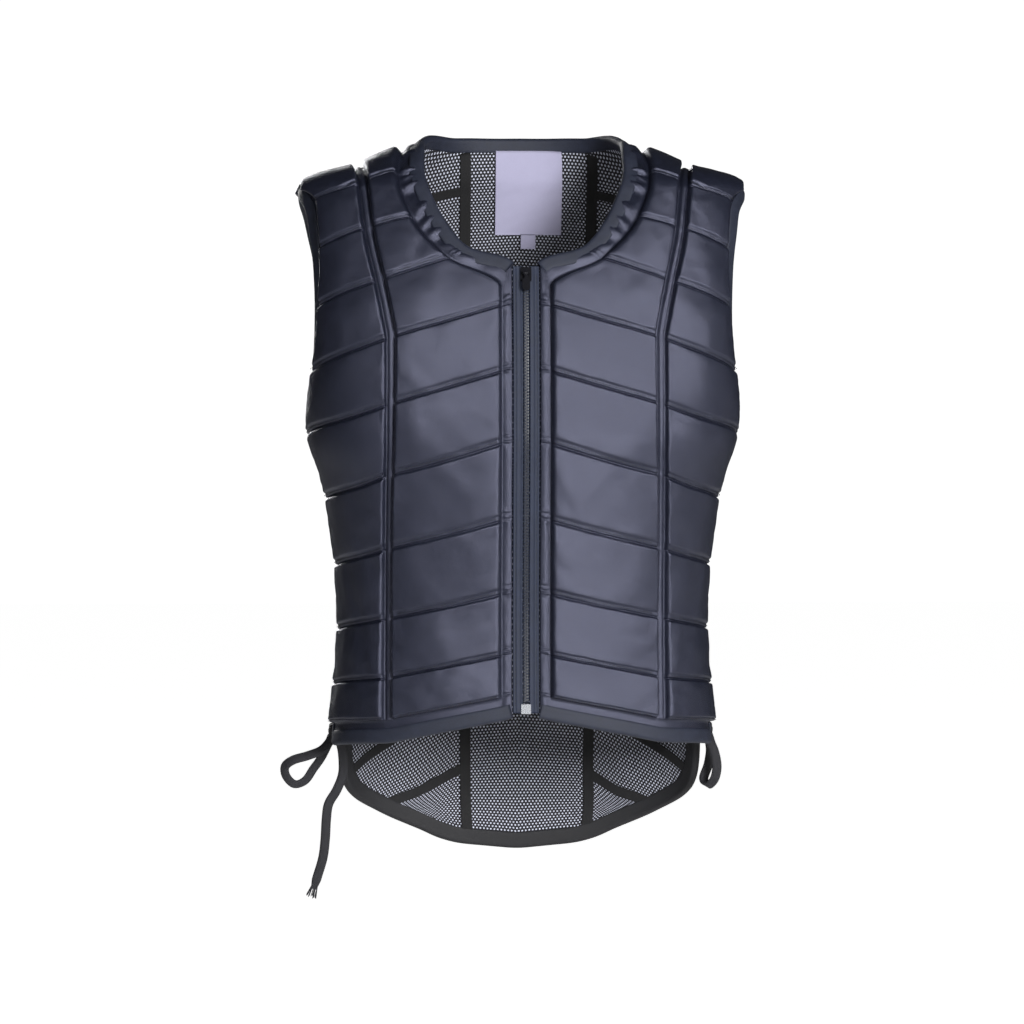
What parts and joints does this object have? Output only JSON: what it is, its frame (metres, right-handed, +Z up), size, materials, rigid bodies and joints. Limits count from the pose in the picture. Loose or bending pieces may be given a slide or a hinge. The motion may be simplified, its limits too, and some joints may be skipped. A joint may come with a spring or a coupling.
{
  "type": "equestrian body protector",
  "caption": "Padded riding vest of quilted foam tiles with a front zip, bound edges and laced sides.",
  "frame": {"origin": "midway between the shoulder seats, where the straps rest on the wearer", "axes": "+Z up the wearer's spine, -Y out of the front of the vest, +X towards the wearer's left"},
  "size_m": [0.3956, 0.2396, 0.6451],
  "materials": {
    "nylon": "woven satin",
    "edging": "woven tape",
    "mesh": "mesh cloth",
    "seam_tape": "matt tape",
    "label": "woven",
    "zip_cloth": "woven tape",
    "zip_plastic": "satin",
    "dark_metal": "black lacquer",
    "bright_metal": "polished",
    "braid": "braided"
  },
  "bodies": {
    "vest": {"back_lining": "mesh", "lining_tape_left": "seam_tape", "lining_tape_right": "seam_tape", "neck_label": "label", "neck_binding": "edging", "armhole_binding_left": "edging", "armhole_binding_right": "edging", "hem_binding_left": "edging", "hem_binding_right": "edging", "tail_binding": "edging", "front_panel_left": "nylon", "front_panel_right": "nylon", "back_panel": "nylon", "side_lace_left": "braid", "side_lace_right": "braid", "lace_knot_left": "braid", "lace_knot_right": "braid", "zip_tape_left": "zip_cloth", "zip_tape_right": "zip_cloth", "zip_chain": "zip_plastic", "zip_slider": "dark_metal", "zip_end_box": "bright_metal", "lace_loop_right": "braid", "lace_loop_left": "braid", "lace_end_right": "braid"},
    "zip_pull": {"zip_pull": "dark_metal"}
  },
  "joints": [
    {"name": "zip_pull", "type": "hinge", "parent": "vest", "child": "zip_pull", "pos_m": [0, -0.09858, -0.08402], "axis": [-1, 0, 0], "range_deg": [0, 150]}
  ]
}
